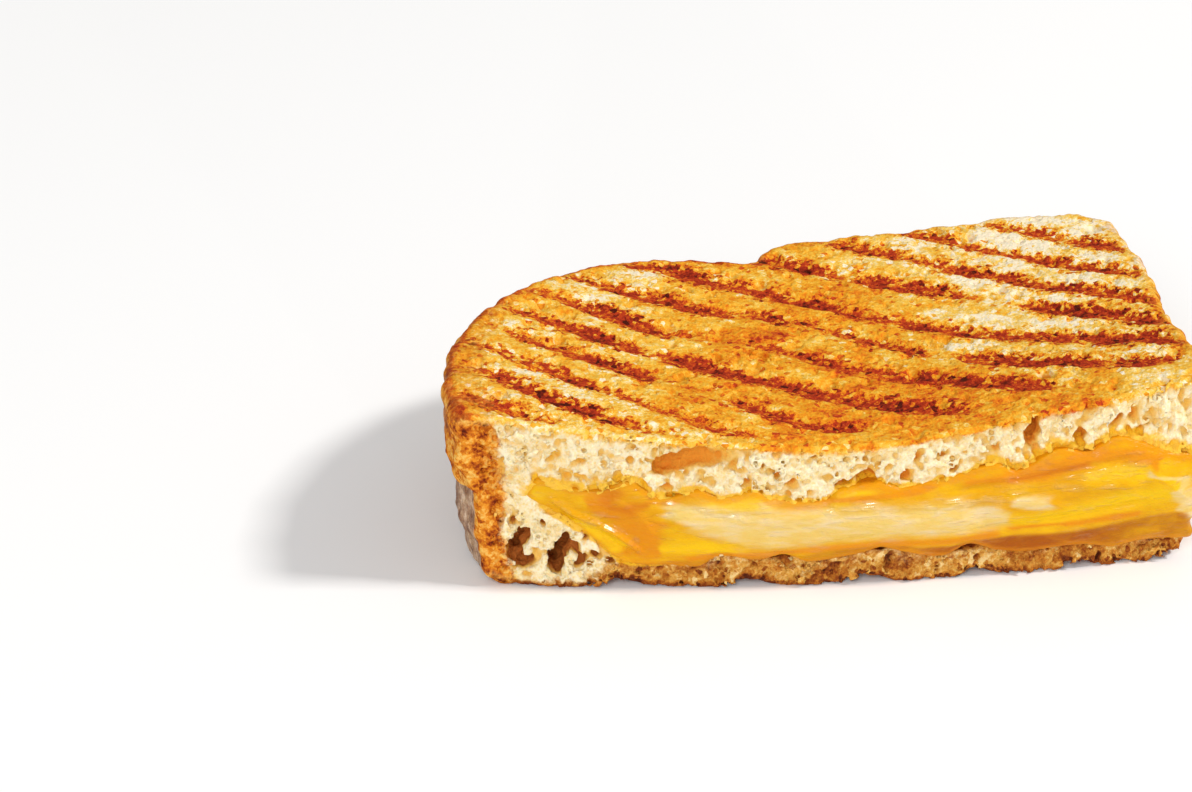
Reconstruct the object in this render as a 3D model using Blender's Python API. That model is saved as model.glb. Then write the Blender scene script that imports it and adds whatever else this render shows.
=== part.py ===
"""Half of a pressed grilled cheese sandwich, cut through the middle: two slices of country bread
with grill ribs pressed into both faces, and three layers of melted cheese between them.

The cut face looks towards -Y, +X runs along it from the domed side of the loaf to the flat base
of the loaf, and +Z is up. The origin is at the middle of the footprint, on the surface that the
sandwich stands on. The tables below are in millimetres, measured from the middle of the cut.
"""

import math

import bmesh
import bpy
import numpy as np

MM = 0.001
GAP = 0.3  # between pieces that touch

# The crust in plan, from the front left corner round the back to the front right corner.
# Each group is one smooth stretch, and the crust turns sharply between groups.
CRUST_STRETCHES = (
    ((-71.5, 0.5), (-74, 13), (-71.8, 30), (-65, 47.5), (-51, 65), (-33, 73.2), (-12, 70.5)),
    ((-10, 72), (-3, 77.8), (11, 79.4), (28, 80.8), (45, 82.5), (58, 80.5)),
    ((63.2, 75), (64.6, 57), (64.1, 32), (64.7, 12), (64.5, 0.5)),
)
STEPS_PER_SPAN = 3
CUT_BULGE = 5.0  # how far the middle of the cut stands out towards -Y
CUT_HALF_LENGTH = 66.0
CUT_STEPS = 16

# Height of the toasted top over the plan: one row for each distance from the cut.
TOP_X = (-72, -36, 0, 32, 66)
TOP_Y = (0, 38, 78)
TOP_Z = (
    (36.0, 31.2, 29.2, 33.4, 38.6),
    (35.0, 30.4, 29.6, 31.4, 36.2),
    (33.5, 30.6, 30.8, 32.2, 34.4),
)

# The layers along the cut, as (x, z) points joined by smooth curves.
CHEESE_TOP = ((-74, 17.0), (-60, 19.9), (-54, 21.4), (-42, 21.0), (-30, 19.4), (-8, 18.6),
              (8, 20.2), (22, 22.2), (38, 25.2), (48, 26.2), (56, 24.4), (66, 22.0))
CHEESE_BOTTOM = ((-74, 16.4), (-60, 19.2), (-54, 14.6), (-48, 10.4), (-42, 6.2), (-34, 5.2),
                 (-20, 6.6), (4, 7.0), (18, 5.4), (40, 5.6), (66, 4.6))
SEAM = ((-74, 16.7), (-60, 19.4), (-54, 15.0), (-50, 13.6), (-44, 14.2), (-40, 15.0),
        (0, 14.0), (52, 15.4), (66, 13.5))
WHITE_TOP = ((-40, 15.0), (-36, 16.4), (-28, 17.5), (0, 17.3), (18, 17.2), (30, 18.2),
             (44, 18.4), (52, 15.4))
WHITE_BOTTOM = ((-40, 15.0), (-34, 13.0), (-24, 10.0), (-14, 8.6), (0, 10.8), (18, 10.8),
                (34, 12.4), (52, 15.4))
UPPER_START = -59.0
LOWER_START = -51.0
WHITE_START, WHITE_END = -37.0, 49.0
CHEESE_INSET = 1.6  # from the crust to the edge of the cheese
BACK_SHARE = 0.72  # the share of the layers' thickness that is left at the back of the slice

# The lines across the slices where the layers' surfaces bend, closest where they are steepest.
BENDS = (-66, -60, -56, -52, -48, -44, -40, -36, -30, -24, -16, -8, 0, 8, 16, 24, 32, 40, 46,
         52, 58, 62)

# The ribs of the press, at a slant to the cut.
RIB_ANGLE = math.radians(-30.25)
RIB_PITCH = 10.7
TOP_FIRST_RIB = -30.4
TOP_RIBS = 12
TOP_RIB_DEPTH = 1.9
UNDER_FIRST_RIB = -34.4
UNDER_RIBS = 12
UNDER_RIB_DEPTH = 2.2
RIB_FLOOR = 2.2  # width of a groove at its floor and at its mouth
RIB_MOUTH = 5.6

TOP_SHOULDER = 2.6  # how far the crust draws in at the toasted faces
UNDER_SHOULDER = 3.6
LOWER_SLICE_INSET = 1.6
CHEESE_GRID_STEP = 12.0
CRUST_RINGS = (1 / 3, 2 / 3)

# Large pores that open on the cut: centre x and z, size in x, y and z, tilt, and slice.
LARGE_PORES = (
    (-31.7, 26.6, 13.4, 12.0, 4.8, -12.0, "bread_top"),
    (31.2, 29.4, 3.4, 8.0, 6.6, 12.0, "bread_top"),
    (-60.6, 8.6, 4.4, 10.0, 8.4, 0.0, "bread_bottom"),
    (-53.6, 7.6, 4.8, 12.0, 9.0, 0.0, "bread_bottom"),
)
PORE_SUBDIVISIONS = 2

FINISHES = {
    "bread_top": ((0.78, 0.42, 0.10), 0.75),
    "bread_bottom": ((0.62, 0.30, 0.08), 0.75),
    "cheddar_upper": ((0.93, 0.52, 0.03), 0.35),
    "white_cheese": ((0.93, 0.80, 0.42), 0.35),
    "cheddar_lower": ((0.88, 0.45, 0.04), 0.35),
}


def clear_scene():
    for obj in list(bpy.data.objects):
        bpy.data.objects.remove(obj)


def new_collection(name):
    collection = bpy.data.collections.new(name)
    bpy.context.scene.collection.children.link(collection)
    return collection


def along(knots, x):
    """The height of a smooth curve through the (x, z) knots."""
    xs = [knot[0] for knot in knots]
    zs = [knot[1] for knot in knots]
    x = min(max(x, xs[0]), xs[-1])
    i = min(max(int(np.searchsorted(xs, x)) - 1, 0), len(xs) - 2)
    slopes = []
    for j in (i, i + 1):
        before, after = max(j - 1, 0), min(j + 1, len(xs) - 1)
        slopes.append((zs[after] - zs[before]) / (xs[after] - xs[before]))
    span = xs[i + 1] - xs[i]
    t = (x - xs[i]) / span
    return (
        zs[i] * (1 + 2 * t) * (1 - t) ** 2
        + zs[i + 1] * t * t * (3 - 2 * t)
        + span * (slopes[0] * t * (1 - t) ** 2 - slopes[1] * t * t * (1 - t))
    )


def smooth_stretch(knots):
    """Points along a Catmull-Rom curve through the knots."""
    padded = [knots[0], *knots, knots[-1]]
    points = []
    for i in range(len(knots) - 1):
        p0, p1, p2, p3 = (np.array(p, float) for p in padded[i : i + 4])
        for step in range(STEPS_PER_SPAN):
            t = step / STEPS_PER_SPAN
            points.append(
                0.5
                * (
                    2 * p1
                    + (p2 - p0) * t
                    + (2 * p0 - 5 * p1 + 4 * p2 - p3) * t**2
                    + (3 * p1 - p0 - 3 * p2 + p3) * t**3
                )
            )
    points.append(np.array(knots[-1], float))
    return points


def cut_line(x):
    return -CUT_BULGE * max(0.0, 1 - (x / CUT_HALF_LENGTH) ** 2)


def crust_line():
    return [point for stretch in CRUST_STRETCHES for point in smooth_stretch(stretch)]


def outline(inset=0.0, first=-100.0, last=100.0):
    """The plan of a layer, clockwise along the crust and back along the cut, drawn in from the crust."""
    line = np.array(CRUST)
    tangents = np.gradient(line, axis=0)
    tangents /= np.hypot(tangents[:, 0], tangents[:, 1])[:, None]
    inwards = np.stack([tangents[:, 1], -tangents[:, 0]], 1)
    line = line + inset * inwards
    line[:, 0] = np.clip(line[:, 0], first, last)
    ends = [i for i, point in enumerate(line) if point[1] > cut_line(point[0]) + 0.4]
    line = line[ends[0] : ends[-1] + 1]
    left, right = line[0][0], line[-1][0]
    cut = []
    for step in range(CUT_STEPS + 1):
        x = right + (left - right) * step / CUT_STEPS
        cut.append((x, cut_line(x)))
    return [tuple(point) for point in line] + cut


CRUST = crust_line()
CRUST_DEPTH = max(point[1] for point in CRUST)
# The middle of the footprint, which the origin lies under.
CENTRE = (
    (min(point[0] for point in CRUST) + max(point[0] for point in CRUST)) / 2,
    (CRUST_DEPTH - CUT_BULGE) / 2,
)
ACROSS_RIBS = (-math.sin(RIB_ANGLE), math.cos(RIB_ANGLE), 0.0)
TOWARDS_BACK = (0.0, 1.0, 0.0)


def rib_position(x, y):
    """Distance across the ribs."""
    return -math.sin(RIB_ANGLE) * x + math.cos(RIB_ANGLE) * y


def groove(x, y, first, count, depth):
    """Depth of the pressed grooves at a point of the plan."""
    across = rib_position(x, y)
    index = min(max(round((across - first) / RIB_PITCH), 0), count - 1)
    off = abs(across - first - index * RIB_PITCH)
    wall = (RIB_MOUTH - RIB_FLOOR) / 2
    return depth * (1 - min(max((off - RIB_FLOOR / 2) / wall, 0.0), 1.0))


def toasted_top(x, y):
    rows = [along(tuple(zip(TOP_X, row)), x) for row in TOP_Z]
    return along(tuple(zip(TOP_Y, rows)), y)


def bent(profile, x):
    """The curve through the profile, as straight runs between the bends."""
    ends = (CRUST[0][0] - 5, *BENDS, CRUST[-1][0] + 5)
    i = min(max(int(np.searchsorted(ends, x)) - 1, 0), len(ends) - 2)
    low, high = ends[i], ends[i + 1]
    share = (x - low) / (high - low)
    return profile(low) * (1 - share) + profile(high) * share


def middle(x):
    return (along(CHEESE_TOP, x) + along(CHEESE_BOTTOM, x)) / 2


def layer(profile, x, y):
    """Height of a layer's surface: the profile at the cut, thinning evenly towards the back."""
    centre = bent(middle, x)
    return centre + (bent(profile, x) - centre) * (1 - (1 - BACK_SHARE) * y / CRUST_DEPTH)


def cheese_top(x, y):
    return layer(lambda at: along(CHEESE_TOP, at), x, y)


def cheese_bottom(x, y):
    return layer(lambda at: along(CHEESE_BOTTOM, at), x, y)


def white_or_seam(knots, x):
    inside = knots[0][0] < x < knots[-1][0]
    return along(knots if inside else SEAM, x)


def white_top(x, y):
    return layer(lambda at: white_or_seam(WHITE_TOP, at), x, y)


def white_bottom(x, y):
    return layer(lambda at: white_or_seam(WHITE_BOTTOM, at), x, y)


def shaped(x, y, w, top_inset, bottom_inset):
    """The plan position of a point at share w of a slice's height, drawn in near its faces."""
    above = max(0.0, 2 * w - 1) ** 2
    below = max(0.0, 1 - 2 * w) ** 2
    inset = top_inset * above + bottom_inset * below
    depth = y - cut_line(x)
    narrow = x * (1 - inset / CUT_HALF_LENGTH)
    return narrow, cut_line(narrow) + depth * (1 - inset / CRUST_DEPTH)


def gridded_prism(points, direction, offsets, rings=()):
    """A prism of height 1 over the outline, cut at the bends, at the crust's rings, and at the
    given offsets along one direction of the plan."""
    mesh = bmesh.new()
    corners = [mesh.verts.new((x, y, 0.0)) for x, y in points]
    base = mesh.faces.new(corners)
    sides = bmesh.ops.extrude_face_region(mesh, geom=[base])
    raised = [item for item in sides["geom"] if isinstance(item, bmesh.types.BMVert)]
    bmesh.ops.translate(mesh, vec=(0.0, 0.0, 1.0), verts=raised)
    planes = [((0.0, 0.0, ring), (0.0, 0.0, 1.0)) for ring in rings]
    planes += [((bend, 0.0, 0.0), (1.0, 0.0, 0.0)) for bend in BENDS]
    planes += [(tuple(offset * n for n in direction), direction) for offset in offsets]
    for place, normal in planes:
        everything = mesh.verts[:] + mesh.edges[:] + mesh.faces[:]
        bmesh.ops.bisect_plane(mesh, geom=everything, dist=0.02, plane_co=place, plane_no=normal)
    return mesh


def rib_lines(first, count):
    """The four lines that bound each groove: two at its floor and two at its mouth."""
    offsets = (-RIB_MOUTH / 2, -RIB_FLOOR / 2, RIB_FLOOR / 2, RIB_MOUTH / 2)
    return [first + i * RIB_PITCH + offset for i in range(count) for offset in offsets]


def back_lines(points, step):
    """Offsets towards the back at an even step."""
    reach = [y for _, y in points]
    count = round((max(reach) - min(reach)) / step)
    return [min(reach) + (i + 0.5) * (max(reach) - min(reach)) / count for i in range(count)]


def finish(name, mesh, collection):
    """Closes, shades and places the mesh as one object with its own material."""
    bmesh.ops.triangulate(mesh, faces=mesh.faces[:])
    bmesh.ops.recalc_face_normals(mesh, faces=mesh.faces[:])
    data = bpy.data.meshes.new(name)
    mesh.to_mesh(data)
    mesh.free()
    data.shade_smooth()
    data.set_sharp_from_angle(angle=math.radians(35))
    obj = bpy.data.objects.new(name, data)
    collection.objects.link(obj)
    colour, roughness = FINISHES[name]
    material = bpy.data.materials.new(name)
    material.use_nodes = True
    shader = material.node_tree.nodes["Principled BSDF"]
    shader.inputs["Base Color"].default_value = (*colour, 1.0)
    shader.inputs["Roughness"].default_value = roughness
    data.materials.append(material)
    return obj


def place(mesh, lower, upper, top_inset=0.0, bottom_inset=0.0):
    """Moves each point of the prism to its real place between the lower and the upper surface."""
    for vert in mesh.verts:
        x, y, w = vert.co
        low, high = lower(x, y), upper(x, y)
        plan = shaped(x, y, w, top_inset, bottom_inset)
        vert.co = (
            (plan[0] - CENTRE[0]) * MM,
            (plan[1] - CENTRE[1]) * MM,
            (low + w * (high - low)) * MM,
        )


def make_top_slice(collection):
    lines = rib_lines(TOP_FIRST_RIB, TOP_RIBS)
    mesh = gridded_prism(outline(), ACROSS_RIBS, lines, CRUST_RINGS)
    place(
        mesh,
        lambda x, y: cheese_top(x, y) + GAP / 2,
        lambda x, y: toasted_top(x, y) - groove(x, y, TOP_FIRST_RIB, TOP_RIBS, TOP_RIB_DEPTH),
        top_inset=TOP_SHOULDER,
    )
    return finish("bread_top", mesh, collection)


def make_bottom_slice(collection):
    lines = rib_lines(UNDER_FIRST_RIB, UNDER_RIBS)
    mesh = gridded_prism(outline(LOWER_SLICE_INSET), ACROSS_RIBS, lines, CRUST_RINGS)
    place(
        mesh,
        lambda x, y: groove(x, y, UNDER_FIRST_RIB, UNDER_RIBS, UNDER_RIB_DEPTH),
        lambda x, y: cheese_bottom(x, y) - GAP / 2,
        bottom_inset=UNDER_SHOULDER,
    )
    return finish("bread_bottom", mesh, collection)


def make_cheese(name, lower, upper, collection, first=-100.0, last=100.0):
    """One layer of cheese between two surfaces, from the first to the last x along the cut."""
    points = outline(CHEESE_INSET, first, last)
    mesh = gridded_prism(points, TOWARDS_BACK, back_lines(points, CHEESE_GRID_STEP))
    place(mesh, lambda x, y: lower(x, y) + GAP / 2, lambda x, y: upper(x, y) - GAP / 2)
    return finish(name, mesh, collection)


def open_pores(slices, cutters):
    """Cuts the large pores out of the slices, as ellipsoids that stand half out of the cut."""
    for number, (x, z, *size, tilt, name) in enumerate(LARGE_PORES):
        mesh = bmesh.new()
        bmesh.ops.create_icosphere(mesh, subdivisions=PORE_SUBDIVISIONS, radius=0.5)
        data = bpy.data.meshes.new(f"pore_{number}")
        mesh.to_mesh(data)
        mesh.free()
        pore = bpy.data.objects.new(data.name, data)
        pore.scale = [side * MM for side in size]
        pore.rotation_euler = (0.0, math.radians(tilt), 0.0)
        pore.location = ((x - CENTRE[0]) * MM, (cut_line(x) - CENTRE[1]) * MM, z * MM)
        pore.hide_render = True
        pore.display_type = "WIRE"
        cutters.objects.link(pore)
        cut = slices[name].modifiers.new(data.name, "BOOLEAN")
        cut.object = pore
        cut.operation = "DIFFERENCE"


def main():
    clear_scene()
    sandwich = new_collection("grilled_cheese_half")
    cutters = new_collection("pore_cutters")
    slices = {
        "bread_top": make_top_slice(sandwich),
        "bread_bottom": make_bottom_slice(sandwich),
    }
    make_cheese("cheddar_upper", white_top, cheese_top, sandwich, first=UPPER_START)
    make_cheese("white_cheese", white_bottom, white_top, sandwich, WHITE_START, WHITE_END)
    make_cheese("cheddar_lower", cheese_bottom, white_bottom, sandwich, first=LOWER_START)
    open_pores(slices, cutters)


main()
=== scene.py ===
"""The looks of the grilled cheese half: toasted country bread with slanting rib marks, an open
crumb at the cut, and three layers of melted cheese.

Every shape is worked out in millimetres in the sandwich's own plan, measured from the middle of
the cut as in the solids: +X along the cut, +Y towards the back crust, +Z up. Each piece is the
zero surface of a field of signed depths, so pores, grooves and folds are real geometry.
"""

import math
from itertools import chain

import bpy
import numpy as np
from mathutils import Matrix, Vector


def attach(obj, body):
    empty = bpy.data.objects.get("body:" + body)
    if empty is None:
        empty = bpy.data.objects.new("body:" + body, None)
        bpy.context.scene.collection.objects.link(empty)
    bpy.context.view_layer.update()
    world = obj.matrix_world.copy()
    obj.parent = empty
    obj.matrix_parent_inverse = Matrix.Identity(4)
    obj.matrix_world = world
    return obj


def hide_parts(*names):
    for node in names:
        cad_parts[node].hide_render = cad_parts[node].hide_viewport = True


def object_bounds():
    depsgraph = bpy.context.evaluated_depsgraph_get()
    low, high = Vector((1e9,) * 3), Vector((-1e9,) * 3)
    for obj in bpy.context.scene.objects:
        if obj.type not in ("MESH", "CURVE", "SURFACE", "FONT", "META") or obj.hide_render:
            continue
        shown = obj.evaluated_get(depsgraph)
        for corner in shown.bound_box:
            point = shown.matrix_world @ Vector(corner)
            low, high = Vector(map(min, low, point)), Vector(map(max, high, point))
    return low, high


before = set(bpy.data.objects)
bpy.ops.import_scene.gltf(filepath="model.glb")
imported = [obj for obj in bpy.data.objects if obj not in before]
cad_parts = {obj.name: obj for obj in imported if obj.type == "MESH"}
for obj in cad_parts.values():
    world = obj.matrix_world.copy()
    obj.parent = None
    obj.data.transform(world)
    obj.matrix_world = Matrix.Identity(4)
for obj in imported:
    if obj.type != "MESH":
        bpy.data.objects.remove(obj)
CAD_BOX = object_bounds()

MM = 0.001
SEED = 20

# ---- the solids' own dimensions

CRUST_STRETCHES = (
    ((-71.5, 0.5), (-74, 13), (-71.8, 30), (-65, 47.5), (-51, 65), (-33, 73.2), (-12, 70.5)),
    ((-10, 72), (-3, 77.8), (11, 79.4), (28, 80.8), (45, 82.5), (58, 80.5)),
    ((63.2, 75), (64.6, 57), (64.1, 32), (64.7, 12), (64.5, 0.5)),
)
CRUST_STEPS = 6  # points from one knot of the crust to the next
CUT_BULGE = 5.0
CUT_HALF_LENGTH = 66.0
CRUST_DEPTH = 82.5

TOP_X = (-72, -36, 0, 32, 66)
TOP_Y = (0, 38, 78)
TOP_Z = (
    (36, 31.2, 29.2, 33.4, 38.6),
    (35, 30.4, 29.6, 31.4, 36.2),
    (33.5, 30.6, 30.8, 32.2, 34.4),
)

CHEESE_TOP = (
    (-74, 17), (-60, 19.9), (-54, 21.4), (-42, 21), (-30, 19.4), (-8, 18.6), (8, 20.2),
    (22, 22.2), (38, 25.2), (48, 26.2), (56, 24.4), (66, 22),
)
CHEESE_BOTTOM = (
    (-74, 16.4), (-60, 19.2), (-54, 14.6), (-48, 10.4), (-42, 6.2), (-34, 5.2), (-20, 6.6),
    (4, 7), (18, 5.4), (40, 5.6), (66, 4.6),
)
SEAM = (
    (-74, 16.7), (-60, 19.4), (-54, 15), (-50, 13.6), (-44, 14.2), (-40, 15), (0, 14),
    (52, 15.4), (66, 13.5),
)
WHITE_TOP = (
    (-40, 15), (-36, 16.4), (-28, 17.5), (0, 17.3), (18, 17.2), (30, 18.2), (44, 18.4),
    (52, 15.4),
)
WHITE_BOTTOM = (
    (-40, 15), (-34, 13), (-24, 10), (-14, 8.6), (0, 10.8), (18, 10.8), (34, 12.4),
    (52, 15.4),
)
UPPER_START = -59.0
LOWER_START = -51.0
CHEESE_INSET = 1.6
BACK_SHARE = 0.72
LOWER_SLICE_INSET = 1.6

RIB_ANGLE = math.radians(-30.25)
RIB_PITCH = 10.7
TOP_FIRST_RIB = -30.4
TOP_RIB_DEPTH = 1.9
UNDER_FIRST_RIB = -34.4
UNDER_RIB_DEPTH = 2.2
RIB_FLOOR = 2.2
RIB_MOUTH = 5.6
RIB_EASE = 0.2  # how far a groove's slopes run past its mouth and its floor
# How deep the grooves show, as shares of the solids' ribs: the palest, and more with darkness.
PALE_GROOVE, DARK_GROOVE = 0.12, 0.34
UNDER_GROOVE = 0.6

# ---- how it was grilled

# Each rib mark along its length, from the front left one backwards: x, how dark it is, and how
# far it strays backwards from its straight line.
RIB_MARKS = (
    ((-68, 0.65, 2.4), (-63, 0.85, 2.2), (-59, 0.7, 2)),
    ((-67, 0.5, 2.6), (-60, 0.85, 2), (-54, 1, 0.8), (-48, 1, 0.5), (-44, 0.75, 0.6),
     (-38, 0.6, 0.8)),
    ((-66, 0.45, 2.2), (-58, 0.55, 1.2), (-54, 0.8, 0.8), (-50, 0.9, 0.4), (-46, 0.4, 0),
     (-40, 0.5, -0.2), (-33, 0.45, -1), (-29, 0.65, -1.6), (-24, 0.7, -2), (-19, 0.55, -1.2)),
    ((-63, 0.4, 0.4), (-50, 0.7, -0.3), (-44, 0.9, -0.4), (-37, 0.9, -0.4), (-33, 0.3, -0.4),
     (-24, 0.3, -0.5), (-20, 0.65, -0.8), (-9, 0.75, -2.2), (1, 0.85, 0)),
    ((-64, 0.45, -0.2), (-52, 0.6, -1.6), (-46, 0.8, -1.6), (-40, 0.8, -1.4), (-34, 0.35, -1.8),
     (-29, 0.7, -2), (-24, 0.9, -1.9), (-12, 0.8, -1.6), (-4, 0.8, -1.3), (6, 0.95, -1),
     (17, 1, -0.6)),
    ((-56, 0.4, -1.2), (-46, 0.65, -1.8), (-41, 0.95, -2.2), (-33, 1, -2.6), (-28, 0.35, -1.6),
     (-18, 0.3, 0), (-10, 0.55, 0.8), (1, 0.65, -1.2), (12, 0.75, -0.6), (20, 0.9, -0.2),
     (36, 0.9, 0.6)),
    ((-47, 0.45, -1.4), (-40, 0.7, -1.8), (-33, 0.85, -1.7), (-22, 0.8, -1.2), (-16, 0.4, 0),
     (-10, 0.8, 1.4), (-4, 0.5, 2), (6, 0.75, 0.6), (14, 0.8, -0.4), (18, 0.2, -0.8),
     (22, 0.2, -0.9), (26, 0.9, -0.8), (44, 0.9, 0.8), (58, 0.85, 2.8)),
    ((-32, 0.6, -0.8), (-23, 0.95, -0.7), (-17, 0.6, -0.6), (-12, 0.9, -0.4), (2, 0.85, -0.2),
     (10, 0.6, -0.8), (18, 0.85, -1.2), (27, 0.75, -1.2), (44, 0.8, 0.4), (52, 1.05, 1),
     (62, 1.2, 1.6)),
    ((-16, 0.6, 0.5), (-7, 0.7, 1.2), (0, 0.95, 1.5), (4, 0.9, 1.5), (7, 0.45, 1.5),
     (11, 0.85, 1.7), (20, 0.9, 2.1), (27, 0.6, 2.2), (31, 0.2, 1.8), (37, 0.2, 1.4),
     (41, 0.9, 1), (50, 1, 0.2), (61, 1.15, -0.7)),
    ((2, 0.6, 3), (11, 0.85, 3), (20, 0.6, 2.6), (25, 0.85, 1.4), (38, 0.85, 0.2),
     (46, 0.7, -0.8), (54, 1, -1.6), (62, 0.95, -2.4)),
    ((18, 0.65, 2.8), (27, 0.75, 1.6), (35, 0.5, 0.2), (46, 0.65, -1.2), (54, 0.8, -2.2),
     (61, 0.8, -3)),
    ((37, 0.45, 0.8), (45, 0.65, -0.6), (53, 0.75, -2), (61, 0.7, -3.2)),
)
# How far behind the cut the marks end, and how far they fade on either side of that.
MARK_FADE_BEFORE = 2.2
MARK_FADE_BEYOND = 1.6
MARK_ENDS = ((-66, 2), (-38, 3.2), (-19, 4.2), (0, 6.2), (18, 7.4), (36, 9.2), (58, 9.6))
# How brown the lands between the marks are: rows from the cut to the back, over TOP_X.
LAND_HEAT = (
    (0.17, 0.16, 0.36, 0.33, 0.15),
    (0.08, 0.17, 0.39, 0.1, 0.01),
    (0.16, 0.1, 0.14, -0.02, -0.14),
)

# Pores that show as holes at the cut: centre x and z, size in x, y and z, and tilt in degrees.
TOP_LARGE_PORES = (
    (-34.4, 25.9, 7, 6.6, 4.2, 30), (-31.4, 26.8, 9.4, 5, 4.6, 18),
    (-28.2, 27.2, 11, 3.2, 4.2, 12), (-25, 27.3, 11, 1.8, 3.4, 8),
    (31.2, 29.4, 2.6, 9, 5.6, -14), (1.2, 21.9, 4.6, 6, 3.4, 0),
    (-2.4, 21.2, 4.4, 4, 1.8, 20), (8.5, 22.2, 3.4, 3.6, 2.4, 0),
    (-13.2, 28.4, 1.8, 3, 2.8, 14), (-12.4, 21.6, 2, 3, 2.4, -30),
    (-17.6, 25.4, 1, 2.4, 1.8, 0), (-15, 23.2, 1.2, 3, 1.6, 0),
    (-20.4, 22, 1.6, 3, 1.3, -40), (-8.6, 26.6, 1.7, 2.6, 1.4, 20),
    (-50.6, 26.4, 2.8, 2, 1.4, 0), (-43.6, 23.4, 2.6, 2.4, 2, 20),
    (-55.4, 25.2, 1.6, 2, 1.6, 0), (24.6, 26.8, 1.6, 3, 1.5, 0),
    (17, 22.9, 1.6, 3, 1.4, 0), (40.4, 27.6, 2.2, 5, 3.8, 6),
    (47.2, 30.6, 1.6, 4, 3.8, -20), (49.6, 28.2, 1.2, 4, 2.6, 24),
    (51.6, 28, 1.2, 4, 2.4, -30),
)
BOTTOM_LARGE_PORES = (
    (-61, 10.4, 3.2, 8, 5.2, -30), (-62.2, 7.4, 3.2, 10, 5.2, 6),
    (-60.4, 5.2, 4.2, 7, 2.8, 20), (-53.6, 9, 3, 9, 5.8, -14),
    (-54.8, 5.6, 3.4, 14, 5.4, 0), (-51.2, 8.4, 1.8, 4, 4, 24),
    (-50.4, 5.2, 2, 4, 3.6, -20), (-47.6, 7, 2.6, 3, 1.8, -30),
    (-44.8, 5.6, 1.8, 3, 1.2, 0), (-62.6, 13.8, 1.4, 3, 2, 0),
    (-57, 13.4, 1.2, 3, 1.8, 0), (-13.4, 6.9, 7, 5, 2.2, 4),
    (4.6, 7.6, 6.8, 5, 2, 0), (20.8, 7, 9, 5, 2.6, 0),
)
# The cheese's own edges at the cut, where it soaked into the crumb.
UPPER_EDGE = (
    (-60, 19.8), (-58, 22.3), (-53, 21), (-48, 20.2), (-41.5, 22.2), (-36, 18.7), (-29, 20.3),
    (-25, 18.8), (-19, 20.1), (-15.5, 18.3), (-6, 18), (-4, 19.8), (3.5, 21.1), (8, 19.8),
    (16, 21.3), (25, 23.5), (29, 21.8), (36, 25.4), (42, 24.6), (47, 27), (52.5, 25.4),
    (58, 22.8), (66, 21.8),
)
LOWER_EDGE = (
    (-60, 19.1), (-55, 15.9), (-48.5, 11.1), (-43, 6.2), (-34, 5.1), (-29, 4.8), (-25, 7),
    (-18, 6.2), (-13.5, 7.3), (-9, 5.6), (1, 7), (4.5, 7.9), (8.5, 6.7), (16, 5.4), (20.5, 7.6),
    (26, 5.9), (31, 5.1), (41, 5.7), (48, 4.5), (54, 5.2), (66, 4.5),
)

# ---- curves and distances

FAR_AWAY = 1e9
FRONT_REACH = -60.0  # y where the crust's ring is closed, well in front of the cut


def ease(low, high, value):
    """A smooth step from 0 at low to 1 at high."""
    share = np.clip((value - low) / (high - low), 0.0, 1.0)
    return share * share * (3 - 2 * share)


def curve(knots, x, column=1):
    """A smooth curve through each knot's x and one of its values, level beyond the knots."""
    xs = np.array([knot[0] for knot in knots], float)
    values = np.array([knot[column] for knot in knots], float)
    last = len(xs) - 1
    numbers = np.arange(last + 1)
    before, after = np.maximum(numbers - 1, 0), np.minimum(numbers + 1, last)
    slopes = (values[after] - values[before]) / (xs[after] - xs[before])
    x = np.clip(x, xs[0], xs[-1])
    i = np.clip(np.searchsorted(xs, x) - 1, 0, last - 1)
    span = xs[i + 1] - xs[i]
    t = (x - xs[i]) / span
    return (
        values[i] * (1 + 2 * t) * (1 - t) ** 2
        + values[i + 1] * t * t * (3 - 2 * t)
        + span * (slopes[i] * t * (1 - t) ** 2 - slopes[i + 1] * t * t * (1 - t))
    )


def table(rows, x, y):
    """A smooth surface through rows of values over TOP_X, one row for each of TOP_Y."""
    front, middle, back = (curve(tuple(zip(TOP_X, row)), x) for row in rows)
    y = np.clip(y, TOP_Y[0], TOP_Y[-1])
    near = ease(TOP_Y[0], TOP_Y[1], y)
    far = ease(TOP_Y[1], TOP_Y[2], y)
    return front * (1 - near) + middle * (near - far) + back * far


def smooth_stretch(knots):
    """Points along a Catmull-Rom curve through the knots."""
    padded = [knots[0], *knots, knots[-1]]
    points = []
    for i in range(len(knots) - 1):
        p0, p1, p2, p3 = (np.array(p, float) for p in padded[i : i + 4])
        for step in range(CRUST_STEPS):
            t = step / CRUST_STEPS
            bend = 2 * p0 - 5 * p1 + 4 * p2 - p3
            twist = 3 * p1 - p0 - 3 * p2 + p3
            points.append((2 * p1 + (p2 - p0) * t + bend * t**2 + twist * t**3) / 2)
    points.append(np.array(knots[-1], float))
    return points


CRUST = np.array([point for stretch in CRUST_STRETCHES for point in smooth_stretch(stretch)])
# Where the plan's origin is in the frame: the solids' box and the crust here share their left,
# back and bottom.
ORIGIN = np.array((
    CAD_BOX[0].x / MM - CRUST[:, 0].min(),
    CAD_BOX[1].y / MM - CRUST[:, 1].max(),
    CAD_BOX[0].z / MM,
))


def cut_line(x):
    return -CUT_BULGE * np.maximum(0.0, 1 - (x / CUT_HALF_LENGTH) ** 2)


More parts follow.
